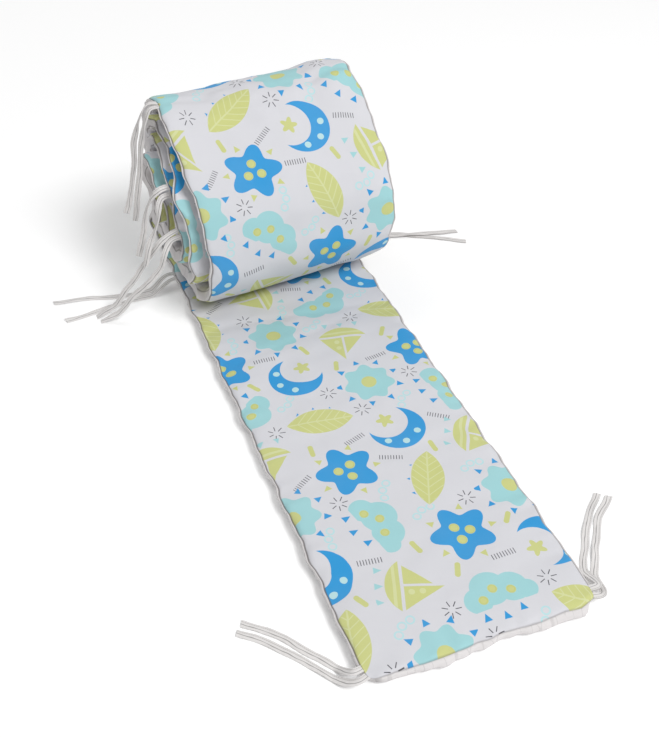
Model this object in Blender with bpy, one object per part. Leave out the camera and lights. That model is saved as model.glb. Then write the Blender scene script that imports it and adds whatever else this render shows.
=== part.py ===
"""A padded crib bumper: a long sewn strip, flat at its near end and rolled up on the flat run behind.

X runs across the strip, Y along it and away from the near end, Z up. The printed face is up on the flat run.
The strip passes under the roll, folds back over itself behind it, comes forward, rises at the front and winds
inwards, so the printed face is outside on the roll. Each turn sticks out a little more to the left than the
one round it.
"""

import math

import bmesh
import bpy
from mathutils import Vector

# Driving sizes, in metres and turns.
STRIP_WIDTH = 0.300       # from side seam to side seam
FLAT_HALF = 0.0110        # half the thickness of the pad where it lies flat
ROLL_HALF = 0.0110        # half the thickness of the pad where it is wound and pressed
SEAM_HALF = 0.0015        # half the thickness of the sewn edge
SEAM_RISE = 0.0055        # the backing comes up round the sides, so the seam is above the middle line
FLAT_LENGTH = 0.965       # near seam to the start of the fold behind the roll
FOLD_RADIUS = 0.0160      # of the strip's middle line in the fold
ROLL_RADIUS = 0.1540      # of the outermost turn's middle line
ROLL_BEHIND = 0.150       # the roll's axis lies this far in front of the fold
TURN_PITCH = 0.0290       # from one turn's middle line to the next
TURN_COUNT = 4.40
TURN_WOBBLE = 0.0014      # the turns come in and out by this much, out of step with each other
WOBBLES_PER_TURN = 1.37
LAYER_GAP = 0.0020        # between the flat run and the turn that lies on it

# Sideways place of the strip: turns wound since the roll's lowest point, and the strip's middle there.
# The outermost turn starts to the right of the flat run, and the inner ones come back to the left.
SIDEWAYS = (
    (-0.30, 0.000),
    (0.00, 0.011),
    (0.20, 0.023),
    (0.50, 0.003),
    (1.00, 0.002),
    (2.00, -0.006),
    (4.50, -0.024),
)
BASE_SKEW = 0.10          # how far the roll's foot runs back towards its right end, per metre of width
SKEW_HEIGHT = 0.22        # the skew is gone at this height

# The roll's ridge has sunk towards its left end: place across, and how far it has sunk there.
RIDGE_SAG = (
    (-0.160, 0.010),
    (-0.090, 0.016),
    (0.020, 0.010),
    (0.070, 0.008),
    (0.120, 0.000),
)
SAG_START = 0.20          # the roll is as round as before up to this height
SAG_REACH = 0.13          # and has sunk by the whole of it this far above that

# Section of the outermost turn: direction from the roll's axis (0 is away from the near end, 90 is up), and
# the turn's radius there as a share of ROLL_RADIUS.
TURN_SECTION = (
    (-90, 0.94),
    (-45, 1.00),
    (0, 0.97),
    (45, 1.00),
    (90, 1.07),
    (135, 0.91),
    (180, 0.98),
    (225, 1.12),
)

# Steps of the mesh.
FLAT_STEPS = 30
NEAR_CROWDING = 0.12      # the flat run's stations crowd towards the near end by this share
FOLD_STEPS = 7
RETURN_STEPS = 4
STEPS_PER_TURN = 17
ROLL_START = FLAT_STEPS + FOLD_STEPS + 2 + RETURN_STEPS   # the station at the roll's lowest point

# Half of the strip's cut, from its middle to the side seam: place across as a share of the half width, and
# height as a share of the way from the seam to the crown on the printed face, or to the underside.
PRINT_HALF = (
    (0.000, 1.00),
    (0.380, 0.99),
    (0.720, 0.94),
    (0.900, 0.80),
    (0.970, 0.52),
    (1.000, 0.00),
)
BACKING_HALF = (
    (0.000, 1.00),
    (0.380, 1.00),
    (0.900, 1.00),
    (0.978, 0.94),
    (1.006, 0.55),
    (1.000, 0.00),
)
# The blunt ends: distance from the end seam, and the share of its full section that the pad has there.
END_SHARES = ((0.000, 0.45), (0.005, 0.86), (0.018, 1.00))

# Waves of the side seams: height, length and start of each wave.
SEAM_WAVES = ((0.0022, 0.088, 0.3), (0.0014, 0.053, 1.9))
SEAM_OFFSET = 0.21        # the right seam's waves run this far ahead of the middle, the left one's behind
SEAM_POWER = 3            # and they die out inwards as the cube of the place across
CALM_CORNER = 0.12        # the side seams run straight at the near end and have their full waves from here on
CROWN_WAVES = ((0.16, 0.115, 0.8), (0.12, 0.190, 2.4))

# Tape ties, sewn into the side seam in pairs.
TAPE_WIDTH = 0.0100
TAPE_THICKNESS = 0.0014
TAPE_LEAD = 0.008         # straight out of the seam
ROLL_TAPE_LEAD = 0.014    # and out of the seam of a turn of the roll
TAPE_PART = 0.0016        # the two tapes of a pair part by this much each as they leave the seam
TAPE_STEPS = 3            # rings to each row of a route
PIECE_GAP = 0.0004
NEAR_STATION, BACK_STATION = 1, 26       # stations of the flat run where ties leave it
TAPE_REST = TAPE_THICKNESS / 2   # height of a tape that lies on the surface
TAPE_ARCHED = 0.0030      # and of one that hasn't reached it yet
TAPE_OVER = 0.0034        # and of one that crosses another

UP, UP_LEFT, FRONT_LEFT, UP_FRONT_LEFT = (0, 0, 1), (-1, 0, 1), (-1, -1, 0), (-1, -1, 1)

# Name, turns wound, flat station where none are wound, side, offset along the seam, and the route: x and y
# from the seam, height above the surface and the way that the tape's face looks.
TIES = (
    ("near_left_1", 0, NEAR_STATION, -1, 0.0055, (
        (-0.024, 0.027, TAPE_REST, UP),
        (-0.052, 0.065, TAPE_REST, UP),
        (-0.079, 0.099, TAPE_REST, UP),
        (-0.106, 0.122, TAPE_REST, UP),
    )),
    ("near_left_2", 0, NEAR_STATION, -1, -0.0055, (
        (-0.033, 0.017, TAPE_REST, UP),
        (-0.061, 0.055, TAPE_REST, UP),
        (-0.088, 0.088, TAPE_REST, UP),
        (-0.115, 0.111, TAPE_REST, UP),
    )),
    ("near_right_1", 0, NEAR_STATION, 1, 0.0055, (
        (0.016, 0.038, TAPE_ARCHED, UP),
        (0.042, 0.078, TAPE_REST, UP),
        (0.068, 0.112, TAPE_REST, UP),
        (0.100, 0.142, TAPE_REST, UP),
    )),
    ("near_right_2", 0, NEAR_STATION, 1, -0.0055, (
        (0.027, 0.032, TAPE_REST, UP),
        (0.053, 0.071, TAPE_REST, UP),
        (0.078, 0.103, TAPE_REST, UP),
        (0.112, 0.133, TAPE_REST, UP),
    )),
    ("back_left_1", 0, BACK_STATION, -1, 0.006, (
        (-0.050, -0.005, TAPE_REST, UP),
        (-0.100, 0.001, TAPE_REST, UP),
        (-0.147, 0.013, TAPE_REST, UP),
        (-0.200, 0.021, TAPE_REST, UP),
    )),
    ("back_left_2", 0, BACK_STATION, -1, -0.006, (
        (-0.050, -0.018, TAPE_REST, UP),
        (-0.100, -0.019, TAPE_REST, UP),
        (-0.147, -0.029, TAPE_REST, UP),
        (-0.190, -0.033, TAPE_REST, UP),
    )),
    ("back_right_1", 0, BACK_STATION, 1, 0.006, (
        (0.050, 0.018, TAPE_REST, UP),
        (0.090, 0.003, TAPE_REST, UP),
        (0.125, -0.017, TAPE_REST, UP),
        (0.163, -0.040, TAPE_REST, UP),
        (0.206, -0.068, TAPE_REST, UP),
    )),
    ("back_right_2", 0, BACK_STATION, 1, -0.006, (
        (0.050, 0.005, TAPE_REST, UP),
        (0.090, -0.007, TAPE_OVER, UP),
        (0.125, -0.017, TAPE_OVER, UP),
        (0.163, -0.026, TAPE_OVER, UP),
        (0.205, -0.034, TAPE_REST, UP),
    )),
    ("top_left_1", 0.5, 0, -1, 0.006, (
        (-0.028, 0.008, 0.303, UP_LEFT),
        (-0.039, 0.010, 0.270, FRONT_LEFT),
        (-0.049, 0.008, 0.215, FRONT_LEFT),
        (-0.070, 0.002, 0.150, FRONT_LEFT),
    )),
    ("top_left_2", 0.5, 0, -1, -0.006, (
        (-0.024, -0.008, 0.304, UP_LEFT),
        (-0.033, -0.004, 0.266, FRONT_LEFT),
        (-0.044, -0.003, 0.205, FRONT_LEFT),
        (-0.060, -0.008, 0.140, FRONT_LEFT),
    )),
    ("middle_left_1", 2.3, 0, -1, 0.006, (
        (-0.034, 0.012, 0.196, UP_LEFT),
        (-0.047, 0.010, 0.152, FRONT_LEFT),
        (-0.060, 0.008, 0.113, FRONT_LEFT),
    )),
    ("middle_left_2", 2.3, 0, -1, -0.006, (
        (-0.028, -0.010, 0.176, UP_LEFT),
        (-0.045, -0.012, 0.140, FRONT_LEFT),
        (-0.056, -0.014, 0.109, FRONT_LEFT),
    )),
    ("low_left_1", 2.2, 0, -1, 0.006, (
        (-0.052, 0.016, 0.113, UP_FRONT_LEFT),
        (-0.086, 0.028, 0.061, UP_FRONT_LEFT),
        (-0.114, 0.041, 0.020, UP_FRONT_LEFT),
        (-0.139, 0.050, TAPE_REST, UP),
    )),
    ("low_left_2", 2.2, 0, -1, -0.006, (
        (-0.038, 0.001, 0.101, UP_FRONT_LEFT),
        (-0.078, 0.016, 0.054, UP_FRONT_LEFT),
        (-0.111, 0.029, 0.014, UP_FRONT_LEFT),
        (-0.135, 0.037, TAPE_REST, UP),
    )),
)


def smooth(t):
    """Goes from 0 to 1 with level ends as t does."""
    t = min(max(t, 0.0), 1.0)
    return t * t * (3 - 2 * t)


def waves(table, place):
    """Sum of the table's waves at a place along the strip."""
    return sum(height * math.sin(2 * math.pi * place / length + start) for height, length, start in table)


def eased(table, place):
    """The table's value at a place, eased between its rows."""
    for (place0, value0), (place1, value1) in zip(table, table[1:]):
        if place <= place1:
            return value0 + (value1 - value0) * smooth((place - place0) / (place1 - place0))
    return table[-1][1]


def turn_share(angle):
    """Radius share of a turn at an angle in radians, eased between the rows of TURN_SECTION."""
    step = 360 / len(TURN_SECTION)
    place = ((math.degrees(angle) + 90) % 360) / step
    row = int(place) % len(TURN_SECTION)
    before, here, there, after = (TURN_SECTION[(row + k) % len(TURN_SECTION)][1] for k in (-1, 0, 1, 2))
    t = place - int(place)
    return here + t * (there - before) / 2 + t * t * (before - 2.5 * here + 2 * there - after / 2) \
        + t * t * t * (1.5 * (here - there) + (after - before) / 2)


def flat_stations():
    """Middle line of the flat run as (y, z, shift, half thickness), with a station more at its blunt end."""
    for k in range(FLAT_STEPS):
        t = k / FLAT_STEPS
        if k == 1:
            yield END_SHARES[1][0], FLAT_HALF, 0.0, FLAT_HALF
        yield FLAT_LENGTH * (t - NEAR_CROWDING * math.sin(math.pi * t) * (1 - t)), FLAT_HALF, 0.0, FLAT_HALF


def fold_stations():
    """The half circle behind the roll."""
    for k in range(FOLD_STEPS + 1):
        turn = math.pi * k / FOLD_STEPS
        y = FLAT_LENGTH + FOLD_RADIUS * math.sin(turn)
        z = FLAT_HALF + FOLD_RADIUS * (1 - math.cos(turn))
        yield y, z, 0.0, FLAT_HALF + k / FOLD_STEPS * (ROLL_HALF - FLAT_HALF)


def roll_axis():
    """Place of the roll's axis, so that its lowest turn lies on the flat run."""
    lowest = 2 * FLAT_HALF + LAYER_GAP + ROLL_HALF
    return FLAT_LENGTH - ROLL_BEHIND, lowest + ROLL_RADIUS * turn_share(-math.pi / 2)


def turn_point(wound):
    """Middle line of the roll after it has wound by an angle from its lowest point."""
    axis_y, axis_z = roll_axis()
    angle = -math.pi / 2 - wound
    wobble = TURN_WOBBLE * math.sin(WOBBLES_PER_TURN * wound) * smooth(wound)
    radius = turn_share(angle) * (ROLL_RADIUS - TURN_PITCH * wound / (2 * math.pi)) + wobble
    shift = eased(SIDEWAYS, wound / (2 * math.pi))
    return axis_y + radius * math.cos(angle), axis_z + radius * math.sin(angle), shift, ROLL_HALF


def return_stations():
    """The stretch between the fold and the roll's lowest point."""
    start_y, start_z = FLAT_LENGTH, FLAT_HALF + 2 * FOLD_RADIUS
    end_y, end_z, _, half = turn_point(0.0)
    for k in range(1, RETURN_STEPS + 1):
        t = k / (RETURN_STEPS + 1)
        y = start_y + t * (end_y - start_y)
        z = start_z + smooth(t) * (end_z - start_z)
        yield y, z, eased(SIDEWAYS, SIDEWAYS[0][0] * (1 - t)), half


def roll_stations():
    """The turns, from the roll's lowest point inwards."""
    steps = round(STEPS_PER_TURN * TURN_COUNT)
    whole = 2 * math.pi * TURN_COUNT
    for k in range(steps):
        yield turn_point(whole * k / steps)
    core = ROLL_RADIUS - TURN_PITCH * TURN_COUNT
    yield turn_point(whole - END_SHARES[1][0] / core)
    yield turn_point(whole)


def skew(place, point):
    """Moves a point of the roll's foot back towards the roll's right end."""
    begun = smooth((place - FLAT_LENGTH - math.pi * FOLD_RADIUS) / ROLL_BEHIND)
    return point + Vector((0, BASE_SKEW * begun * smooth(1 - point.z / SKEW_HEIGHT) * point.x, 0))


def sag(point):
    """Lowers a point of the roll's upper part."""
    return point - Vector((0, 0, eased(RIDGE_SAG, point.x) * smooth((point.z - SAG_START) / SAG_REACH)))


def stations():
    """Every station with its distance along the strip and the direction its printed face looks in."""
    rows = [*flat_stations(), *fold_stations(), *return_stations(), *roll_stations()]
    places = [0.0]
    for (y0, z0, _, _), (y1, z1, _, _) in zip(rows, rows[1:]):
        places.append(places[-1] + math.hypot(y1 - y0, z1 - z0))
    for k, (y, z, shift, half) in enumerate(rows):
        (y0, z0, _, _), (y1, z1, _, _) = rows[max(k - 1, 0)], rows[min(k + 1, len(rows) - 1)]
        length = math.hypot(y1 - y0, z1 - z0)
        facing = Vector((0, -(z1 - z0) / length, (y1 - y0) / length))
        yield places[k], Vector((shift, y, z)), facing, half, places[-1]


def end_share(place, total):
    """Share of its full section that the pad has at a place, from the rows of END_SHARES."""
    inset = min(place, total - place)
    for (inset0, share0), (inset1, share1) in zip(END_SHARES, END_SHARES[1:]):
        if inset < inset1:
            return share0 + (share1 - share0) * (inset - inset0) / (inset1 - inset0)
    return END_SHARES[-1][1]


def whole_width(half_rows):
    """Rows from the left seam to the right one, from those of one half."""
    return [(-u, share) for u, share in half_rows[:0:-1]] + list(half_rows)


def section(place, middle, facing, half, total):
    """The strip's cut at a station: the printed face's points from left to right, then the backing's."""
    fill = end_share(place, total)
    crown = fill * (half - SEAM_RISE - SEAM_HALF) * (1 + waves(CROWN_WAVES, place))
    depth = fill * (half + SEAM_RISE - SEAM_HALF)
    calm = smooth(place / CALM_CORNER)

    def point(u, height):
        x = u * STRIP_WIDTH / 2 + calm * waves(SEAM_WAVES, place + SEAM_OFFSET * u) * abs(u) ** SEAM_POWER
        return sag(skew(place, middle + Vector((x, 0, 0)) + facing * height))

    face = [point(u, SEAM_RISE + SEAM_HALF + share * crown) for u, share in whole_width(PRINT_HALF)]
    back = [point(u, SEAM_RISE - SEAM_HALF - share * depth) for u, share in whole_width(BACKING_HALF)]
    return face + back[::-1]


def seam_seat(rings, step, side):
    """The side seam after a station: its middle, the way out, the way along it and where the print looks."""
    row = 0 if side < 0 else len(rings[0]) // 2 - 1
    face, back = row, len(rings[0]) - 1 - row
    here, there = rings[step], rings[step + 1]
    middle = (here[face] + here[back] + there[face] + there[back]) / 4
    along = ((there[face] + there[back]) - (here[face] + here[back])).normalized()
    facing = (here[face] + there[face] - here[back] - there[back]).normalized()
    out = along.cross(facing).normalized() * -side
    return middle, out if out.x * side > 0 else -out, along, facing


def curve_way(points, k):
    """Way and rate of the smooth curve through points as it passes one of them."""
    if k in (0, len(points) - 1):
        return (points[min(k + 1, len(points) - 1)] - points[max(k - 1, 0)]).normalized()
    before, after = points[k] - points[k - 1], points[k + 1] - points[k]
    share = before.length / after.length
    return (before / share + after * share) / (before.length + after.length)


def curve_point(points, k, f):
    """A point on that curve, at a share of the way from one point to the next."""
    here, there = points[k], points[k + 1]
    reach = (there - here).length
    lean = curve_way(points, k) * (1 - f) - curve_way(points, k + 1) * f
    return here + (there - here) * smooth(f) + lean * reach * f * (1 - f)


def tape_rings(seat, offset, route):
    """A tape's rings: out of the seam, then through the route's rows, its face turned to each row's way."""
    middle, out, along, facing = seat
    start = middle + along * offset + out * PIECE_GAP
    lead = TAPE_LEAD if middle.z < 2 * FLAT_HALF else ROLL_TAPE_LEAD
    points = [start, start + out * lead + facing * math.copysign(TAPE_PART, offset)]
    facings = [facing, facing]
    for x, y, height, turned in route:
        points.append(Vector((middle.x + x, middle.y + y, height)))
        turned = Vector(turned).normalized()
        facings.append(turned if turned.dot(facings[-1]) > 0 else -turned)
    steps = TAPE_STEPS * (len(points) - 1)
    spans = [(min(k // TAPE_STEPS, len(points) - 2), k) for k in range(steps + 1)]
    centres = [curve_point(points, span, k / TAPE_STEPS - span) for span, k in spans]
    rings = []
    for (span, k), centre in zip(spans, centres):
        way = (centres[min(k + 1, steps)] - centres[max(k - 1, 0)]).normalized() if k else out
        face = facings[span].lerp(facings[span + 1], smooth(k / TAPE_STEPS - span))
        face = (face - way * face.dot(way)).normalized() * TAPE_THICKNESS / 2
        wide = way.cross(face).normalized() * TAPE_WIDTH / 2
        ring = [centre + wide + face, centre - wide + face, centre - wide - face, centre + wide - face]
        lift = Vector((0, 0, max(0.0, -min(point.z for point in ring))))
        rings.append([point + lift for point in ring])
    return rings


def loft(name, rings, material, collection):
    """A closed body through rings of points: the first half of a ring is one face, the second the other."""
    mesh = bmesh.new()
    rows = [[mesh.verts.new(point) for point in ring] for ring in rings]
    count = len(rows[0])
    for here, there in zip(rows, rows[1:]):
        for k in range(count):
            mesh.faces.new((here[k], here[(k + 1) % count], there[(k + 1) % count], there[k]))
    for ring in (rows[0], rows[-1]):
        for k in range(count // 2 - 1):
            mesh.faces.new((ring[k], ring[k + 1], ring[count - 2 - k], ring[count - 1 - k]))
    bmesh.ops.recalc_face_normals(mesh, faces=mesh.faces)
    data = bpy.data.meshes.new(name)
    mesh.to_mesh(data)
    mesh.free()
    data.materials.append(material)
    data.shade_smooth()
    body = bpy.data.objects.new(name, data)
    collection.objects.link(body)
    return body


def middle_of_box(bodies):
    """The middle of the box round all the bodies' points, at the height of the surface."""
    points = [point for rings in bodies for ring in rings for point in ring]
    x, y = ((min(p[k] for p in points) + max(p[k] for p in points)) / 2 for k in (0, 1))
    return Vector((x, y, 0))


def cloth_material(name, colour, roughness):
    """A plain cloth finish."""
    material = bpy.data.materials.new(name)
    material.use_nodes = True
    shader = material.node_tree.nodes["Principled BSDF"]
    shader.inputs["Base Color"].default_value = (*colour, 1)
    shader.inputs["Roughness"].default_value = roughness
    shader.inputs["Metallic"].default_value = 0.0
    return material


def main():
    for old in list(bpy.data.objects):
        bpy.data.objects.remove(old)
    parts = bpy.data.collections.new("crib_bumper")
    bpy.context.scene.collection.children.link(parts)
    printed = cloth_material("printed_cotton", (0.66, 0.76, 0.80), 0.85)
    tape = cloth_material("cotton_tape", (0.86, 0.85, 0.83), 0.90)
    pad = [section(*station) for station in stations()]
    bodies = {"bumper_pad": (pad, printed)}
    for name, turns, step, side, offset, route in TIES:
        first = ROLL_START + round(turns * STEPS_PER_TURN) if turns else step
        bodies[f"tie_{name}"] = (tape_rings(seam_seat(pad, first, side), offset, route), tape)
    to_origin = -middle_of_box([rings for rings, _ in bodies.values()])
    for name, (rings, material) in bodies.items():
        loft(name, [[point + to_origin for point in ring] for ring in rings], material, parts)


main()
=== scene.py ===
"""Looks of the crib bumper, a printed and padded strip with tape ties, its far end rolled up on its flat run.

Metres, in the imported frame: X across the strip, Y along it and away from the near end, Z up.
"""

import math
from functools import partialmethod, reduce

import bpy
import numpy as np
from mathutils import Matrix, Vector, noise


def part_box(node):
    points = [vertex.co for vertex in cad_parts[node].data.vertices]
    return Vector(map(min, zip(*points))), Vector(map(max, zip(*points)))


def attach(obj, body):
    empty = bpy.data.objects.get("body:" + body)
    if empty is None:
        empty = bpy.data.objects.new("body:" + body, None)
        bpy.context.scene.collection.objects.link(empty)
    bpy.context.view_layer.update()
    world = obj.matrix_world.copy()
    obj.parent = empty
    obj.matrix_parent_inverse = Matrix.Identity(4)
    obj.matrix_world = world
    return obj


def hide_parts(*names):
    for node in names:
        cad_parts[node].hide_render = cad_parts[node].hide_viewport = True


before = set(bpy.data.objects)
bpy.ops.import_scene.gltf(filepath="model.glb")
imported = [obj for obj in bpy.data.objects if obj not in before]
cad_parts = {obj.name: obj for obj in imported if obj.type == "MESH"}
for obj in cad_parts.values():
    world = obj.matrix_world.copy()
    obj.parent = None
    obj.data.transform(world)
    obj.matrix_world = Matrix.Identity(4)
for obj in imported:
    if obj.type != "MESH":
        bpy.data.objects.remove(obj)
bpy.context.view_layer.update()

# The strip's sizes, as in the part's solids.
HALF_WIDTH = 0.150
FLAT_HALF = 0.0110  # half the pad's thickness
SEAM_RISE = 0.0055  # of the seam above the middle line
FLAT_LENGTH = 0.965  # near seam to the fold behind the roll
FOLD_RADIUS = 0.0160  # of the middle line
ROLL_RADIUS = 0.1540
ROLL_BEHIND = 0.150  # from the fold to the roll's axis
TURN_PITCH = 0.0290
TURN_COUNT = 4.40
TURN_WOBBLE = 0.0014
WOBBLES_PER_TURN = 1.37
LAYER_GAP = 0.0020  # between the flat run and the turn that lies on it
BASE_SKEW = 0.10  # of the roll's foot, gone at the next height
SKEW_HEIGHT = 0.22

# Turns wound since the roll's lowest point, and the strip's sideways place there.
SIDEWAYS = ((-0.30, 0.000), (0.00, 0.011), (0.20, 0.023), (0.50, 0.003), (1.00, 0.002), (2.00, -0.006),
            (4.50, -0.024))
# Place across the roll, and how far its ridge has sunk there.
RIDGE_SAG = ((-0.160, 0.010), (-0.090, 0.016), (0.020, 0.010), (0.070, 0.008), (0.120, 0.000))
SAG_START, SAG_REACH = 0.20, 0.13  # heights
# Direction from the roll's axis in degrees, and the turn's share of ROLL_RADIUS there.
TURN_SECTION = ((-90, 0.94), (-45, 1.00), (0, 0.97), (45, 1.00), (90, 1.07), (135, 0.91), (180, 0.98),
                (225, 1.12))

# Waves of the side seams as height, length and start.
SEAM_WAVES = ((0.0013, 0.088, 0.3), (0.0010, 0.053, 1.9), (0.0004, 0.023, 0.7))
SEAM_OFFSET = 0.21  # the right seam's waves run this far ahead, the left one's behind
CALM_CORNER = 0.12  # the seams have their full waves from here on

TAPE_WIDTH = 0.0100
TAPE_STITCH = 0.56  # place of its stitched line, as a share of the half width

# Steps of the fine mesh, in metres.
LINE_STEP = 0.002
LINE_SMOOTHING = 20  # passes that round the middle line's corners
FOLD_POINTS, BACK_POINTS, ROLL_POINTS = 26, 76, 1300
STATION_STEP = 0.0047  # along the strip
MIDDLE_STEP = 0.0061  # and across it, between the edges' own rows
CROWN_RISE = 3  # the printed face is at its full height one part in this many of the way in
NEAR_ENOUGH = 0.0001

# From a seam inwards: place of the seam's own points, then inset and rise of the printed face, then inset and
# drop of the backing, which comes up past the seam and bulges out. Rises and drops are shares of the whole.
EDGE_ROWS = (
    (0.0000, 0.0000, 0.00, 0.0000, 0.000),
    (0.0008, 0.0003, 0.17, -0.0011, -0.035),
    (0.0018, 0.0010, 0.31, -0.0023, -0.020),
    (0.0032, 0.0022, 0.44, -0.0033, 0.090),
    (0.0052, 0.0042, 0.55, -0.0038, 0.240),
    (0.0080, 0.0072, 0.65, -0.0036, 0.420),
    (0.0120, 0.0114, 0.74, -0.0022, 0.620),
    (0.0175, 0.0170, 0.82, 0.0010, 0.800),
    (0.0250, 0.0246, 0.88, 0.0066, 0.930),
    (0.0340, 0.0338, 0.93, 0.0146, 0.985),
    (0.0460, 0.0460, 0.965, 0.0300, 1.000),
    (0.0620, 0.0620, 0.985, 0.0520, 1.000),
)

# Unevenness of the cloth: how high it stands or how far it moves, and the size of its bumps. It fades inwards
# over its reach.
SWELL = (0.0023, 0.055)  # of the filling
SMALL_SWELL = (0.0012, 0.027)
FACET = (0.0022, 0.045)  # of the wound turns, longer across the strip
FACET_STRETCH = 5.0
PUCKER = (0.0040, 0.015)  # of the printed face along a seam
PUCKER_REACH = 0.016
BAND_PUFF = (0.0058, 0.017)  # of the backing where it comes up round the edges
BAND_SWING = (0.0040, 0.062)  # the same, more broadly
BAND_REACH = 0.010
RELIEF_START = 0.004  # the printed face's relief is gone at its seams, and whole this far in
END_BULGE = 0.0015  # the backing bulges out this much further at the ends
SIDE_TUCK = 0.0020  # and this much less at the sides of the flat run,
TURN_TUCK = 0.0046  # and at those of the turns
CORNER_TUCK = (0.0050, 0.0075)  # the corners are drawn in by this much, over this reach
END_WANDER = (0.0022, 0.052)  # of the end seams
END_WANDER_REACH = 0.030
END_SCALLOP = (0.0036, 0.021)  # the same, between stitches
END_SCALLOP_REACH = 0.008
TURN_WANDER = (0.0095, 0.043)  # of the inner turns' side seams, sideways
TURN_RUCK = (0.0080, 0.037)  # and inwards
SMALL_RUCK = (0.0036, 0.015)
RIDGE_RUCK = (0.0062, 0.017)  # of the printed face on the roll's ridge
RIDGE_STRETCH = 1.8
RIDGE_TURN, RIDGE_REACH = 0.48, 0.045  # turns wound at the ridge, and to each side of it
BACKING_RUCK = (0.0060, 0.023)  # of the wound turns' backing, most at their ends
BACKING_RUCK_REACH = 0.050
TURN_FILL = 0.0030  # the backing of the wound turns stands out this much further
ROLL_BEGUN = 0.2  # turns wound until the roll's unevenness is whole
INNER_START = 0.45  # turns wound where the inner turns' starts, which is whole one turn further
# Soft creases of the flat run: place along, slant, half width and depth.
CREASES = ((0.585, 0.22, 0.007, 0.0013), (0.635, -0.12, 0.009, 0.0016), (0.300, 0.10, 0.010, 0.0007))


def added(name, data):
    """A new object of the scene."""
    thing = bpy.data.objects.new(name, data)
    bpy.context.scene.collection.objects.link(thing)
    return thing


def smooth(t):
    """Goes from 0 to 1 with level ends as t does."""
    t = np.clip(t, 0.0, 1.0)
    return t * t * (3 - 2 * t)


def waves(table, place):
    """The sum of the table's waves at places."""
    return sum(height * np.sin(2 * math.pi * place / length + start) for height, length, start in table)


def eased(table, place):
    """The table's values at places, eased between its rows."""
    total = np.full(np.shape(place), table[0][1])
    for (place0, value0), (place1, value1) in zip(table, table[1:]):
        total = total + (value1 - value0) * smooth((place - place0) / (place1 - place0))
    return total


def turn_share(angle):
    """Radius share of a turn at an angle in radians, on a smooth curve through the rows of TURN_SECTION."""
    place = ((math.degrees(angle) + 90) % 360) / (360 / len(TURN_SECTION))
    row = int(place) % len(TURN_SECTION)
    before, here, there, after = (TURN_SECTION[(row + k) % len(TURN_SECTION)][1] for k in (-1, 0, 1, 2))
    t = place - int(place)
    return here + t * (there - before) / 2 + t * t * (before - 2.5 * here + 2 * there - after / 2) \
        + t * t * t * (1.5 * (here - there) + (after - before) / 2)


def turn_point(wound):
    """Middle line of the roll as y, z and shift, after it has wound by an angle from its lowest point."""
    axis_y = FLAT_LENGTH - ROLL_BEHIND
    axis_z = 3 * FLAT_HALF + LAYER_GAP + ROLL_RADIUS * turn_share(-math.pi / 2)
    angle = -math.pi / 2 - wound
    wobble = TURN_WOBBLE * math.sin(WOBBLES_PER_TURN * wound) * float(smooth(wound))
    radius = turn_share(angle) * (ROLL_RADIUS - TURN_PITCH * wound / (2 * math.pi)) + wobble
    shift = float(eased(SIDEWAYS, wound / (2 * math.pi)))
    return axis_y + radius * math.cos(angle), axis_z + radius * math.sin(angle), shift


class MiddleLine:
    """The strip's middle line, at even steps from the near seam to the core of the roll."""

    def __init__(self):
        flat = [(y, FLAT_HALF, 0.0) for y in np.arange(0, FLAT_LENGTH, LINE_STEP)]
        fold = [(FLAT_LENGTH + FOLD_RADIUS * math.sin(a), FLAT_HALF + FOLD_RADIUS * (1 - math.cos(a)), 0.0)
                for a in np.linspace(0, math.pi, FOLD_POINTS)]
        top = FLAT_HALF + 2 * FOLD_RADIUS
        end_y, end_z, _ = turn_point(0.0)
        back = [(FLAT_LENGTH + t * (end_y - FLAT_LENGTH), top + float(smooth(t)) * (end_z - top),
                 float(eased(SIDEWAYS, SIDEWAYS[0][0] * (1 - t))))
                for t in np.linspace(0, 1, BACK_POINTS)[1:-1]]
        roll = [turn_point(a) for a in np.linspace(0, 2 * math.pi * TURN_COUNT, ROLL_POINTS)]
        rows = np.array(flat + fold + back + roll)
        place = self.along(rows)
        even = np.arange(0, place[-1], LINE_STEP)
        rows = np.stack([np.interp(even, place, column) for column in rows.T], 1)
        for _ in range(LINE_SMOOTHING):
            rows[1:-1] = rows[:-2] / 4 + rows[1:-1] / 2 + rows[2:] / 4
        self.rows, self.place = rows, self.along(rows)
        self.length = self.place[-1]
        way = np.gradient(rows[:, :2], self.place, axis=0)
        self.way = way / np.linalg.norm(way, axis=1)[:, None]
        # Turns wound at each place, counted from the roll's lowest point.
        start = len(flat) + len(fold) + len(back)
        self.turns = np.interp(self.place, place[start:], np.linspace(0, TURN_COUNT, len(roll)))

    @staticmethod
    def along(rows):
        """Place along the line of each of its rows."""
        return np.concatenate([[0], np.cumsum(np.hypot(*np.diff(rows[:, :2], axis=0).T))])

    def at(self, s):
        """y, z, shift and the two numbers of the way along at a place, with straight runs past both ends."""
        columns = [*self.rows.T, *self.way.T]
        y, z, shift, way_y, way_z = (np.interp(s, self.place, column) for column in columns)
        past = s - np.clip(s, 0, self.length)
        return y + past * way_y, z + past * way_z, shift, way_y, way_z

    def turns_at(self, s):
        return np.interp(s, self.place, self.turns)

    def place_of_turn(self, turns):
        return float(np.interp(turns, self.turns, self.place))


LINE = MiddleLine()


def origin_shift():
    """From the strip's own place, with its near corner at x = -HALF_WIDTH and y = 0, to the frame's."""
    low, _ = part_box("bumper_pad")
    near = [v.co.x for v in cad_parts["bumper_pad"].data.vertices if v.co.y < low.y + NEAR_ENOUGH]
    return (min(near) + max(near)) / 2, low.y


SHIFT_X, SHIFT_Y = origin_shift()


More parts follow.
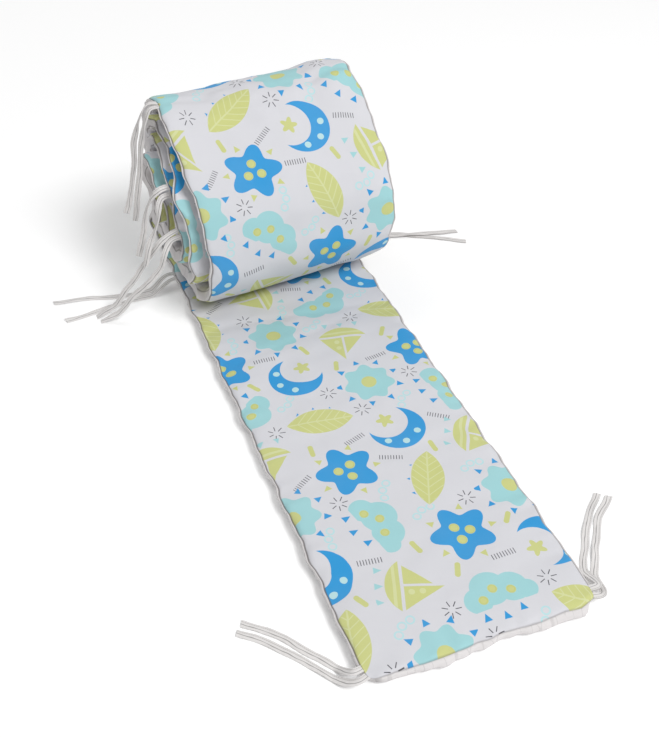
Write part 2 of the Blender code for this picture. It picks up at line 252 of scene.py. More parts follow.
def to_world(x, s, height):
    """Frame points of the cloth at x across, s along it and a height over its middle line, as one array."""
    y, z, shift, way_y, way_z = LINE.at(s)
    x = x + shift
    y = y - way_z * height
    z = z + way_y * height
    begun = smooth((s - FLAT_LENGTH - math.pi * FOLD_RADIUS) / ROLL_BEHIND)
    y = y + BASE_SKEW * begun * smooth(1 - z / SKEW_HEIGHT) * x
    z = z - eased(RIDGE_SAG, x) * smooth((z - SAG_START) / SAG_REACH)
    return np.stack([x + SHIFT_X, y + SHIFT_Y, z], -1)


def bumps(points, scale, seed):
    """Smooth noise from -1 to 1 at points, where scale is the size of its bumps in metres."""
    flat = points.reshape(-1, 3) / scale + seed
    return np.array([noise.noise(Vector(p)) for p in flat]).reshape(points.shape[:-1])


# ---- The pad: one closed body of two faces that share the points of the seam.

def inset_rows(half_length, step):
    """Rows from an edge to the middle: insets and shares as in EDGE_ROWS."""
    last = EDGE_ROWS[-1]
    count = round((half_length - last[0]) / step)
    inner = []
    for k in range(1, count + 1):
        t = k / count
        at = last[0] + (half_length - last[0]) * t
        backing = last[3] + (half_length - last[3]) * t
        inner.append((at, at, last[2] + (1 - last[2]) * float(smooth(CROWN_RISE * t)), backing, 1.0))
    return np.array(list(EDGE_ROWS) + inner)


def pad_grid():
    """Places across and along and the share of rise or drop of each face's points, on one grid."""
    across = inset_rows(HALF_WIDTH, MIDDLE_STEP)
    along = inset_rows(LINE.length / 2, STATION_STEP)
    sides = np.concatenate([np.arange(len(across)), np.arange(len(across) - 1)[::-1]])
    sign = np.concatenate([-np.ones(len(across) - 1), [0], np.ones(len(across) - 1)])
    ends = np.concatenate([np.arange(len(along)), np.arange(len(along) - 1)[::-1]])
    far = np.concatenate([np.zeros(len(along)), np.ones(len(along) - 1)])
    edge, end = across[sides][None, :, :], along[ends][:, None, :]
    faces = []
    for inset, share in ((1, 2), (3, 4)):
        drop = edge[..., share] * end[..., share]
        # Along a seam the points stand where its own do, and further in they move out to the face's.
        x_inset = edge[..., 0] + (edge[..., inset] - edge[..., 0]) * end[..., share]
        s_inset = end[..., 0] + (end[..., inset] - end[..., 0]) * edge[..., share]
        x = sign[None, :] * (HALF_WIDTH - x_inset)
        s = np.where(far[:, None] > 0, LINE.length - s_inset, s_inset)
        faces.append((x, s, drop))
    return faces


def cloth_edge(x):
    """1 at the side seams, falling to 0 inwards."""
    return np.clip(np.abs(x) / HALF_WIDTH, 0, 1) ** 3


def uneven(table, x, s, seed, stretch=1.0):
    """Bumps of the cloth by its own places; the stretch makes them longer across the strip."""
    height, scale = table
    return height * bumps(np.stack([x / stretch, s, np.zeros_like(s)], -1), scale, seed)


def along_sides(table, x, s, seed):
    """Bumps that run along the side seams, with others on the left than on the right."""
    return uneven(table, np.sign(x), s, seed)


def along_ends(table, x, s, seed):
    """Bumps that run along the end seams."""
    return uneven(table, x, np.sign(s - LINE.length / 2), seed)


def from_sides(x):
    """How far in from the nearer side seam."""
    return np.maximum(HALF_WIDTH - np.abs(x), 0)


def from_ends(s):
    """How far in from the nearer end seam."""
    return np.maximum(np.minimum(s, LINE.length - s), 0)


def fading(inwards, reach):
    """1 at a seam, and less the further in."""
    return np.exp(-inwards / reach)


def in_roll(s):
    """0 on the flat run, 1 in the roll."""
    return smooth(LINE.turns_at(s) / ROLL_BEGUN)


def inner_turns(s):
    """0 on the flat run and the start of the outer turn, 1 from halfway round the second."""
    return smooth(LINE.turns_at(s) - INNER_START)


def placed(x, s):
    """The cloth's places after its seams have wandered, and how far it has sunk into the roll there."""
    edge = cloth_edge(x)
    inner = inner_turns(s) * edge
    calm = smooth(s / CALM_CORNER)
    moved_x = x + calm * waves(SEAM_WAVES, s + SEAM_OFFSET * x / HALF_WIDTH) * edge
    moved_x = moved_x + inner * along_sides(TURN_WANDER, x, s, seed=2.3)
    scallops = along_ends(END_SCALLOP, x, s, seed=4.8) * fading(from_ends(s), END_SCALLOP_REACH)
    wander = along_ends(END_WANDER, x, s, seed=6.1) + scallops
    moved_s = s + wander * fading(from_ends(s), END_WANDER_REACH)
    depth, reach = CORNER_TUCK
    corner = depth * fading(from_sides(x) + from_ends(s), reach)
    moved_x = moved_x - np.sign(x) * corner
    moved_s = moved_s + np.sign(LINE.length / 2 - s) * corner
    ruck = along_sides(TURN_RUCK, x, s, seed=9.4) + along_sides(SMALL_RUCK, x, s, seed=5.9)
    return moved_x, moved_s, inner_turns(s) * edge ** 3 * ruck


def print_relief(x, s):
    """Height that puckers, soft creases and uneven filling add to the printed face."""
    ridge = np.exp(-((LINE.turns_at(s) - RIDGE_TURN) / RIDGE_REACH) ** 2)
    side_puckers = along_sides(PUCKER, x, s, seed=1.7) * fading(from_sides(x), PUCKER_REACH)
    height = uneven(SWELL, x, s, seed=3.1) + uneven(SMALL_SWELL, x, s, seed=8.7)
    height += in_roll(s) * uneven(FACET, x, s, seed=4.4, stretch=FACET_STRETCH)
    height += ridge * uneven(RIDGE_RUCK, x, s, seed=2.6, stretch=RIDGE_STRETCH)
    height += (1 + inner_turns(s)) * side_puckers
    height += along_ends(PUCKER, x, s, seed=5.2) * fading(from_ends(s), PUCKER_REACH)
    for place, slant, half_width, depth in CREASES:
        height -= depth * np.exp(-((s - place - slant * x) / half_width) ** 2)
    return smooth(np.minimum(from_sides(x), from_ends(s)) / RELIEF_START) * height


def pad_points():
    """Frame points of both faces and the cloth's own places of each point."""
    (x_print, s_print, rise), (x_back, s_back, drop) = pad_grid()
    x, s, ruck = placed(x_print, s_print)
    crown = (FLAT_HALF - SEAM_RISE) * rise
    top = to_world(x, s, SEAM_RISE + crown + print_relief(x_print, s_print) - ruck)

    # The backing bulges out as a band round the edges, unevenly, and lies as wide as the print further under.
    x, s, ruck = placed(x_back, s_back)
    wound, lying = in_roll(s_back), np.clip(drop, 0, 1)
    band = 4 * lying * (1 - lying)
    cloth = x_back, s_back
    puff = along_sides(BAND_PUFF, *cloth, seed=7.7) + along_sides(BAND_SWING, *cloth, seed=3.9)
    puff = puff / 2 - (SIDE_TUCK + (TURN_TUCK - SIDE_TUCK) * wound)
    x = x + np.sign(x) * band * puff * fading(from_sides(x_back), BAND_REACH)
    puff = END_BULGE + along_ends(BAND_PUFF, *cloth, seed=0.9) + along_ends(BAND_SWING, *cloth, seed=5.5)
    s = s - np.sign(LINE.length / 2 - s) * band * puff * fading(from_ends(s_back), BAND_REACH)
    rucks = uneven(BACKING_RUCK, *cloth, seed=7.1) * fading(from_sides(x_back), BACKING_RUCK_REACH)
    depth = FLAT_HALF + SEAM_RISE + TURN_FILL * wound
    under = to_world(x, s, SEAM_RISE - depth * drop - ruck - wound * lying * rucks)
    return (top, under), (x_print, s_print), cloth


def build_pad(printed, backing):
    """The pad as one closed mesh, with a UV map of the cloth's own metres."""
    (top, under), top_cloth, under_cloth = pad_points()
    stations, rows, _ = top.shape
    index_top = np.arange(stations * rows).reshape(stations, rows)
    index_under = index_top + stations * rows
    # The faces share the seam's points, and so their places on the cloth too.
    for edge in (np.s_[0, :], np.s_[-1, :], np.s_[:, 0], np.s_[:, -1]):
        index_under[edge] = index_top[edge]
        under[edge] = top[edge]
    quads = [np.stack([grid[:-1, :-1], grid[:-1, 1:], grid[1:, 1:], grid[1:, :-1]], -1).reshape(-1, 4)
             for grid in (index_top, index_under)]
    faces = np.concatenate([quads[0], quads[1][:, ::-1]])
    points = np.concatenate([top.reshape(-1, 3), under.reshape(-1, 3)])
    cloth = np.concatenate([np.stack(places, -1).reshape(-1, 2) for places in (top_cloth, under_cloth)])
    used, corners = np.unique(faces, return_inverse=True)
    mesh = bpy.data.meshes.new("pad")
    mesh.from_pydata(points[used].tolist(), [], corners.reshape(faces.shape).tolist())
    layer = mesh.uv_layers.new(name="cloth")
    layer.uv.foreach_set("vector", cloth[faces.ravel()].astype(np.float32).ravel())
    mesh.materials.append(printed)
    mesh.materials.append(backing)
    mesh.polygons.foreach_set("material_index", np.repeat(np.arange(2, dtype=np.int32), len(quads[0])))
    mesh.shade_smooth()
    mesh.validate()
    return added("pad", mesh)


# ---- Materials.

def fill(slot, value):
    """Links a field to a socket, or sets the socket's own value."""
    if isinstance(value, Field):
        value.tree.links.new(value.socket, slot)
    else:
        slot.default_value = value


def put(node, **values):
    """Fills a node's inputs by their names, with _ for a space."""
    for name, value in values.items():
        fill(node.inputs[name.replace("_", " ")], value)


class Field:
    """A number or a vector that varies over a surface: a socket of a node tree, for sums in Python."""

    def __init__(self, tree, socket):
        self.tree, self.socket = tree, socket

    def through(self, node, operation, others, output=0):
        """What a node makes of this field and others."""
        node.operation = operation
        for slot, value in zip(node.inputs, (self, *others)):
            fill(slot, value)
        return Field(self.tree, node.outputs[output])

    def vector(self, operation, *others, output=0):
        return self.through(self.tree.nodes.new("ShaderNodeVectorMath"), operation, others, output)

    def math(self, operation, *others, clamp=False):
        node = self.tree.nodes.new("ShaderNodeMath")
        node.use_clamp = clamp
        return self.through(node, operation, others)

    __add__ = partialmethod(math, "ADD")
    __sub__ = partialmethod(math, "SUBTRACT")
    __mul__ = partialmethod(math, "MULTIPLY")
    at_most = partialmethod(math, "MINIMUM")
    at_least = partialmethod(math, "MAXIMUM")
    modulo = partialmethod(math, "FLOORED_MODULO")
    floor = partialmethod(math, "FLOOR")
    fraction = partialmethod(math, "FRACT")
    size = partialmethod(math, "ABSOLUTE")

    def wrap(self, half):
        """This number brought to between -half and half by whole steps."""
        return self.math("WRAP", half, -half)

    def equals(self, number):
        return self.math("COMPARE", number, 0.5)

    def inked(self, soft=0.00025):
        """1 where this distance is below 0, with a soft edge."""
        return self.math("MULTIPLY_ADD", -0.5 / soft, 0.5, clamp=True)


def join(field, x, y):
    """A vector of two numbers."""
    node = field.tree.nodes.new("ShaderNodeCombineXYZ")
    put(node, X=x, Y=y)
    return Field(field.tree, node.outputs[0])


def split(field):
    """The first two numbers of a vector."""
    node = field.tree.nodes.new("ShaderNodeSeparateXYZ")
    put(node, Vector=field)
    return Field(field.tree, node.outputs[0]), Field(field.tree, node.outputs[1])


def turned(point, angle):
    """A point turned about the middle, by a number or a field in radians."""
    node = point.tree.nodes.new("ShaderNodeVectorRotate")
    node.rotation_type = "Z_AXIS"
    put(node, Vector=point, Angle=angle)
    return Field(point.tree, node.outputs[0])


def distance(point, x, y):
    """Distance from a point to a fixed place."""
    return point.vector("DISTANCE", (x, y, 0), output="Value")


def disc(point, x, y, radius):
    return distance(point, x, y) - radius


def moved(point, x, y):
    """A point as seen from another place."""
    return point.vector("SUBTRACT", (x, y, 0))


def ring(point, x, y, radius, half_line):
    return disc(point, x, y, radius).size() - half_line


def bar(point, x, y, half_x, half_y):
    """An upright rectangle."""
    across, up = split(moved(point, x, y))
    return (across.size() - half_x).at_least(up.size() - half_y)


def capsule(point, half_length, radius):
    """A bar along X with round ends."""
    across, up = split(point)
    past = (across.size() - half_length).at_least(0.0)
    return disc(join(point, past, up), 0, 0, radius)


def beyond(point, angle, reach):
    """Distance past a straight line that lies at a reach from the middle, in a direction given in degrees."""
    way = (math.cos(math.radians(angle)), math.sin(math.radians(angle)), 0)
    return point.vector("DOT_PRODUCT", way, output="Value") - reach


def overlap(shapes):
    """What lies in all of some shapes."""
    return reduce(Field.at_least, shapes)


def nearest(shapes):
    """The union of shapes."""
    return reduce(Field.at_most, shapes)


def triangle(point, x, y, reach, pointing=90):
    """A slim triangle, with its sides at a reach from its middle."""
    middle = moved(point, x, y)
    return overlap([beyond(middle, pointing + turn, reach) for turn in (180, -65, 65)])


def spots(point, places, radius):
    return nearest([disc(point, x, y, radius) for x, y in places])


def drops(point, places, reach):
    return nearest([triangle(point, x, y, reach) for x, y in places])


def round_copies(point, count):
    """A point moved into the one sector along X that stands for all of count sectors round the middle."""
    across, up = split(point)
    angle = up.math("ARCTAN2", across).wrap(math.pi / count)
    reach = distance(point, 0, 0)
    return join(point, reach * angle.math("COSINE"), reach * angle.math("SINE"))


# The motifs before MOTIF_SCALE, about the middle of each. A disc is x, y and radius, spots are places and
# radius, drops are places and the reach of a slim triangle's sides, and a bar is x, y and half sizes.
CLOUD_PUFFS = ((-0.025, -0.001, 0.0150), (-0.008, 0.009, 0.0205), (0.015, 0.004, 0.0180),
               (0.029, -0.004, 0.0115))
CLOUD_FOOT = 0.0135
CLOUD_SPOTS = (((-0.020, -0.002), (-0.005, 0.008), (0.013, 0.001)), 0.0052)
CLOUD_DROPS = (((-0.026, -0.023), (-0.006, -0.027), (0.014, -0.023)), 0.0028)
STAR = (0.0300, 5, 0.22)  # radius, count of points and the share that they stand out
STAR_SPOTS = (((-0.0085, -0.005), (0.0085, -0.005), (0.0, 0.0100)), 0.0058)
STAR_DROP = (0.0345, 0, 0.0026, 0)  # x, y, reach and direction
LEAF = (0.0405, 0.0190)  # half length and half width
LEAF_DROPS = (((-0.024, 0.013), (-0.004, 0.018), (0.016, 0.015)), 0.0026)
HALF_MIDRIB, HALF_VEIN, VEIN_PITCH, VEIN_LEAN, VEINS_END = 0.0010, 0.0008, 0.011, 0.9, 0.033
MOON, MOON_BITE = (0, 0, 0.0340), (0.016, 0.006, 0.0270)
MOON_SPOTS = (((-0.0240, 0.003), (-0.0175, -0.017), (-0.0130, 0.021)), 0.0042)
MOON_STAR, MOON_STAR_PLACE = (0.0085, 5, 0.30), (0.017, 0.006)
FLOWER, FLOWER_MIDDLE = (0.0290, 7, 0.12), (0, 0, 0.0095)
FLOWER_DROP, FLOWER_DROP_COUNT = (0.0375, 0, 0.0027, 0), 9
HULL, DECK = (0, 0.012, 0.038), -0.010
LARGE_SAIL = ((180, -0.0015), (-90, 0.0065), (34, 0.0212))  # direction and reach of each side
SMALL_SAIL = ((0, -0.0015), (-90, 0.0065), (142, 0.0160))
STRIPE = (0, -0.0160, 0.040, 0.0017)
SAIL_SPOTS = (((0.0085, 0.0010), (0.0075, 0.0125)), 0.0034)
BOAT_DROPS = (((-0.020, -0.0335), (0.0, -0.0335), (0.020, -0.0335)), 0.0026)
TOOTH_PITCH, TOOTH, COMB_HALF = 0.0038, (0.00048, 0.0040), 0.0170
RINGS, RING_RADIUS, RING_HALF = ((-0.0125, -0.002), (0.0, 0.0015), (0.0125, -0.002)), 0.0050, 0.0011
CAPSULE = (0.0075, 0.0036)  # half length between its round ends, and radius
SPARK_COUNT, SPARK_STROKE = 7, (0.0085, 0, 0.0038, 0.00055)


def cloud(point):
    _, up = split(point)
    return nearest([disc(point, *puff) for puff in CLOUD_PUFFS]).at_least((up * -1) - CLOUD_FOOT)


def petals(point, radius, count, depth):
    """A round flower or star: a circle whose radius swells towards each point."""
    across, up = split(point)
    swell = (up.math("ARCTAN2", across) * count).math("COSINE")
    return distance(point, 0, 0) - (swell * (radius * depth) + radius)


def leaf(point, half_length, half_width):
    """A pointed leaf along X."""
    bow = (half_length ** 2 + half_width ** 2) / (2 * half_width)
    return disc(point, 0, half_width - bow, bow).at_least(disc(point, 0, bow - half_width, bow))


def veins(point):
    """A leaf's midrib and side veins."""
    across, up = split(point)
    row = ((across - up.size() * VEIN_LEAN) * (1 / VEIN_PITCH)).fraction()
    side = (row - 0.5).size() * VEIN_PITCH - HALF_VEIN
    return (up.size() - HALF_MIDRIB).at_most(side.at_least(across.size() - VEINS_END))


def moon(point):
    return disc(point, *MOON).at_least(disc(point, *MOON_BITE) * -1)


def boat(point):
    """A hull under a large and a small sail."""
    sails = [overlap([beyond(point, *side) for side in sail]) for sail in (LARGE_SAIL, SMALL_SAIL)]
    return nearest([disc(point, *HULL).at_least(beyond(point, 90, DECK)), *sails])


def boat_trim(point):
    """A stripe along the hull, and dots on the large sail."""
    return bar(point, *STRIPE).at_most(spots(point, *SAIL_SPOTS))


def comb(point):
    """A row of short strokes."""
    across, up = split(point)
    tooth = (across.wrap(TOOTH_PITCH / 2).size() - TOOTH[0]).at_least(up.size() - TOOTH[1])
    return tooth.at_least(across.size() - COMB_HALF)


def spark(point):
    """Strokes that fly out from a middle."""
    return bar(round_copies(point, SPARK_COUNT), *SPARK_STROKE)


def chosen(kind, shapes):
    """The shape whose number is kind."""
    total = shapes[0] * kind.equals(0)
    for number, shape in enumerate(shapes[1:], 1):
        total = shape.math("MULTIPLY_ADD", kind.equals(number), total)
    return total


def ramp(kind, colours):
    """One of some colours by number."""
    node = kind.tree.nodes.new("ShaderNodeValToRGB")
    node.color_ramp.interpolation = "CONSTANT"
    places = [max(0.0, (k - 0.5) / len(colours)) for k in range(len(colours))]
    while len(node.color_ramp.elements) < len(colours):
        node.color_ramp.elements.new(0.5)
    for element, place, colour in zip(node.color_ramp.elements, places, colours):
        element.position = place
        element.color = (*colour, 1)
    fill(node.inputs[0], kind * (1 / len(colours)))
    return Field(kind.tree, node.outputs["Color"])


def laid_over(under, over, share):
    """Colours mixed by a share."""
    node = share.tree.nodes.new("ShaderNodeMix")
    node.data_type = "RGBA"
    for slot, value in ((0, share), (6, under), (7, over)):
        fill(node.inputs[slot], (*value, 1) if isinstance(value, tuple) else value)
    return Field(share.tree, node.outputs[2])


# Colours, as linear light.
GROUND = (0.640, 0.640, 0.672)
BLUE = (0.026, 0.300, 0.640)
AQUA = (0.335, 0.610, 0.635)
LIME = (0.560, 0.585, 0.225)
CHARCOAL = (0.030, 0.030, 0.045)
PALE_LIME = (0.620, 0.650, 0.330)
PALE_AQUA = (0.460, 0.690, 0.715)
DEEP_LIME = (0.440, 0.480, 0.110)
SEAM_SHADE = (0.160, 0.142, 0.138)
CREASE_SHADE = (0.150, 0.140, 0.140)
BACKING, BACKING_PATCH = (0.740, 0.715, 0.715), (0.650, 0.625, 0.625)
TAPE, TAPE_PATCH, STITCH = (0.800, 0.780, 0.770), (0.660, 0.640, 0.630), (0.720, 0.700, 0.680)
# By kind of large motif, which are cloud, star, leaf, moon, flower and boat, and then by kind of small one.
LARGE_COLOURS = (AQUA, BLUE, LIME, BLUE, AQUA, LIME)
INNER_COLOURS = (LIME, LIME, PALE_LIME, PALE_AQUA, LIME, PALE_LIME)
COMPANION_COLOURS = (BLUE, LIME, BLUE, LIME, BLUE, AQUA)
SMALL_COLOURS = (CHARCOAL, PALE_AQUA, LIME, CHARCOAL)

COLUMN_PITCH = 0.096
ROW_PITCH = 0.100
FIRST_COLUMN = 0.05  # where the repeat starts across the strip, in columns
MOTIF_SCALE = 1.18
LARGE_TURN, SMALL_TURN = 1.9, 1.3  # radians that the motifs turn from one to the next
GAP_PLACES = ((0.33, 0.5), (-0.33, 0.5))  # gaps between large motifs, from each, in columns and rows
KEYLINE = 0.0016  # bare ground left round a large motif
INNER_INSET = 0.0005  # of what is drawn in it
RIM_INSET, HALF_RIM, RIM_SHARE = 0.0013, 0.0005, 0.60  # of the thin rims in the clouds' and stars' spots
FAR_OFF = 0.01  # a distance past any ink
SEAM_LINE = 0.0015  # width of the dark line along the seams
NEAR_SEAM_SHADE = 0.45


def lattice(place, shift_columns, shift_rows):
    """Cells of the half-drop repeat: the point in its cell, and the cell's column and row."""
    across, along = split(place)
    column_place = across * (1 / COLUMN_PITCH) + (FIRST_COLUMN - shift_columns)
    column = column_place.floor()
    row_place = column.modulo(2.0).math("MULTIPLY_ADD", 0.5, along * (1 / ROW_PITCH)) - shift_rows
    row = row_place.floor()
    point = join(place, (column_place - column - 0.5) * COLUMN_PITCH, (row_place - row - 0.5) * ROW_PITCH)
    return point, column, row


def small_motifs(place, colour, gap, first):
    """One small motif in a gap beside each large one."""
    point, column, row = lattice(place, *gap)
    kind = (column + row * 3 + first).modulo(4.0)
    point = turned(point, (column * 2 + row * 3) * SMALL_TURN + first)
    rings = nearest([ring(point, x, y, RING_RADIUS, RING_HALF) for x, y in RINGS])
    small = chosen(kind, [comb(point), rings, capsule(point, *CAPSULE), spark(point)])
    return laid_over(colour, ramp(kind, SMALL_COLOURS), small.inked())


def large_motifs(place, colour):
    """A cloud, a star, a leaf, a moon, a flower or a boat, each with its small companions."""
    point, column, row = lattice(place, 0.0, 0.0)
    point = turned(point, (column * 2 + row * 3) * LARGE_TURN).vector("MULTIPLY", (1 / MOTIF_SCALE,) * 3)
    kind = (column * 2 + row).modulo(6.0)
    notch = round_copies(turned(point, math.pi / STAR[1]), STAR[1])
    companions = chosen(kind, [
        drops(point, *CLOUD_DROPS),
        triangle(notch, *STAR_DROP),
        drops(point, *LEAF_DROPS),
        petals(moved(point, *MOON_STAR_PLACE), *MOON_STAR),
        triangle(round_copies(point, FLOWER_DROP_COUNT), *FLOWER_DROP),
        drops(point, *BOAT_DROPS),
    ])
    large = chosen(kind, [cloud(point), petals(point, *STAR), leaf(point, *LEAF), moon(point),
                          petals(point, *FLOWER), boat(point)])
    inner = chosen(kind, [spots(point, *CLOUD_SPOTS), spots(point, *STAR_SPOTS), veins(point),
                          spots(point, *MOON_SPOTS), disc(point, *FLOWER_MIDDLE), boat_trim(point)])
    inside = inner.at_least(large + INNER_INSET)
    colour = laid_over(colour, ramp(kind, COMPANION_COLOURS), companions.inked())
    colour = laid_over(colour, GROUND, (large - KEYLINE).inked())
    colour = laid_over(colour, ramp(kind, LARGE_COLOURS), large.inked())
    colour = laid_over(colour, ramp(kind, INNER_COLOURS), inside.inked())
    # Only kinds 0 and 1 have rims, so the others' are put out of reach.
    rims = ((inner + RIM_INSET).size() - HALF_RIM).at_least(inside)
    rims = rims.at_least(kind.math("GREATER_THAN", 1.5) * FAR_OFF)
    return laid_over(colour, DEEP_LIME, rims.inked() * RIM_SHARE)


def print_colour(place):
    """The printed pattern: large motifs on a half-drop repeat, with small ones between them."""
    colour = GROUND
    for first, gap in enumerate(GAP_PLACES):
        colour = small_motifs(place, colour, gap, first * 2)
    return large_motifs(place, colour)


def seam_line(place):
    """Share of shade of the sewn edge, gone a little way in: 1 at the side seams, less at the near one."""
    across, along = split(place)
    side, near = ((past.size() * (-1 / SEAM_LINE) + 1.0).math("MAXIMUM", 0.0, clamp=True)
                  for past in (across.size() * -1 + HALF_WIDTH, along))
    return side.at_least(near * NEAR_SEAM_SHADE)


WEAVE_PITCH = 0.0011
PRINT_BUMP, PLAIN_BUMP = 0.0004, 0.0005
SLUB_SCALE, CREASE_SCALE = 260.0, 85.0
BACKING_CREASES, TAPE_CREASES = 6.0, 10.0
INK_SCALE, INK_REACH = 300.0, 0.0005  # the ink's edges are as ragged as this
WASH_SCALE, WASH_SHARE, WASH_LESS = 9.0, 0.16, 0.05  # of patches where the ink is a little paler
PATCH_SCALE = 14.0  # of the plain cottons' faint patches
PRINT_SEAM_SHARE, BACKING_SEAM_SHARE = 0.92, 0.80
FOLD_SCALE, FOLD_STRETCH = 48.0, 0.62  # of the backing's fine folds, which run along the strip
FOLD_LINE, FOLD_SHARE = 0.009, 0.20  # half their width in the noise that draws them, and their shade
HALF_STITCH, STITCH_PITCH = (0.00030, 0.0010), 0.0028
# Painted shade on the tape: in its stitched line's groove, along a wandering crease, and in the gap at its
# open edge.
HALF_GROOVE, GROOVE_SHARE = 0.00055, 0.50
TAPE_CREASE = (22.0, 0.0070, 0.0045)  # scale, reach and middle of its sideways wandering
TAPE_CREASE_WIDTH, TAPE_CREASE_SHARE = (60.0, 0.0009), 0.75
GAP_START, GAP_SHARE = 0.97, 0.70  # of the shade between the open edge's layers, in half widths


def cloth_shader(name, roughness, sheen):
    """A new material, its shader, and the cloth's own place as a field."""
    material = bpy.data.materials.new(name)
    material.use_nodes = True
    tree = material.node_tree
    shader = tree.nodes["Principled BSDF"]
    put(shader, Roughness=roughness, Sheen_Weight=sheen, Sheen_Roughness=0.5, Specular_IOR_Level=0.25)
    uv = tree.nodes.new("ShaderNodeUVMap")
    uv.uv_map = "cloth"
    return material, shader, Field(tree, uv.outputs["UV"])


def noise_field(place, scale, detail):
    """Noise from 0 to 1 over the cloth."""
    node = place.tree.nodes.new("ShaderNodeTexNoise")
    put(node, Vector=place, Scale=scale, Detail=detail)
    return Field(place.tree, node.outputs["Fac"])


def weave(place, shader, height, crumple=0.0):
    """Bump of a plain weave, with soft slubs and, where it is asked for, creases."""
    across, along = split(place)
    rate = 2 * math.pi / WEAVE_PITCH
    threads = (across * rate).math("SINE") * (along * rate).math("SINE")
    slubs = noise_field(place, SLUB_SCALE, 3.0)
    creases = noise_field(place, CREASE_SCALE, 2.0) * crumple
    bump = place.tree.nodes.new("ShaderNodeBump")
    put(bump, Strength=0.35, Distance=height, Height=threads * 0.5 + slubs + creases)
    put(shader, Normal=Field(place.tree, bump.outputs["Normal"]))


def printed_cotton():
    material, shader, place = cloth_shader("printed_cotton", roughness=0.82, sheen=0.10)
    weave(place, shader, PRINT_BUMP)
    ragged = noise_field(place, INK_SCALE, 2.0) * INK_REACH
    colour = print_colour(place.vector("ADD", join(place, ragged, ragged)))
    washed = (noise_field(place, WASH_SCALE, 3.0) * WASH_SHARE - WASH_LESS).at_least(0.0)
    colour = laid_over(colour, GROUND, washed)
    put(shader, Base_Color=laid_over(colour, SEAM_SHADE, seam_line(place) * PRINT_SEAM_SHARE))
    return material


def white_cotton(name, colour, patch, crumple):
    """Plain cotton with faint patches, and its shader, place and colour for what is drawn on it."""
    material, shader, place = cloth_shader(name, roughness=0.85, sheen=0.12)
    weave(place, shader, PLAIN_BUMP, crumple)
    return material, shader, place, laid_over(colour, patch, noise_field(place, PATCH_SCALE, 3.0))


def backing_cotton():
    material, shader, place, colour = white_cotton("white_backing", BACKING, BACKING_PATCH, BACKING_CREASES)
    # thin lines of painted shade, standing in for the backing's fine folds
    folds = noise_field(place.vector("MULTIPLY", (1.0, FOLD_STRETCH, 1.0)), FOLD_SCALE, 1.0)
    folds = (folds - 0.5).size() - FOLD_LINE
    colour = laid_over(colour, CREASE_SHADE, folds.inked(FOLD_LINE) * FOLD_SHARE)
    put(shader, Base_Color=laid_over(colour, SEAM_SHADE, seam_line(place) * BACKING_SEAM_SHARE))
    return material


def tape_cotton():
    """Tape with a stitched line beside its open edge, and painted shade in that line's groove, along a crease
    and in the gap between its layers.
    """
    material, shader, place, colour = white_cotton("tape_cotton", TAPE, TAPE_PATCH, TAPE_CREASES)
    across, along = split(place)
    groove = (across - TAPE_STITCH * TAPE_WIDTH / 2).size()
    stitch = (groove - HALF_STITCH[0]).at_least(along.wrap(STITCH_PITCH / 2).size() - HALF_STITCH[1])
    # painted shade in the stitched line's groove
    colour = laid_over(colour, SEAM_SHADE, (groove - HALF_GROOVE).inked() * GROOVE_SHARE)
    colour = laid_over(colour, STITCH, stitch.inked())
    # a thin line of painted shade along a wandering crease
    scale, reach, middle = TAPE_CREASE
    wander = noise_field(place, scale, 2.0) * reach - middle
    scale, width = TAPE_CREASE_WIDTH
    crease = (across - wander).size() - noise_field(place, scale, 1.0) * width
    colour = laid_over(colour, CREASE_SHADE, crease.inked() * TAPE_CREASE_SHARE)
    gap = across * -1 + GAP_START * TAPE_WIDTH / 2
    put(shader, Base_Color=laid_over(colour, SEAM_SHADE, gap.inked() * GAP_SHARE))
    return material


# ---- Ties, on the routes of the part's solids.

TAPE_LEAD = 0.008  # straight out of the seam
ROLL_TAPE_LEAD = 0.014  # and out of the seam of a turn of the roll
TAPE_PART = 0.0016  # the two tapes of a pair part by this much each as they leave the seam
TAPE_REST = 0.0007  # height of a tape that lies on the surface
TAPE_ARCHED = 0.0030  # and of one that hasn't reached it yet
TAPE_OVER = 0.0034  # and of one that crosses another
NEAR_PLACE = 0.0127  # of the near pairs' seats, along the strip
BACK_PLACE = 0.8123
UP, UP_LEFT, FRONT_LEFT, UP_FRONT_LEFT = (0, 0, 1), (-1, 0, 1), (-1, -1, 0), (-1, -1, 1)

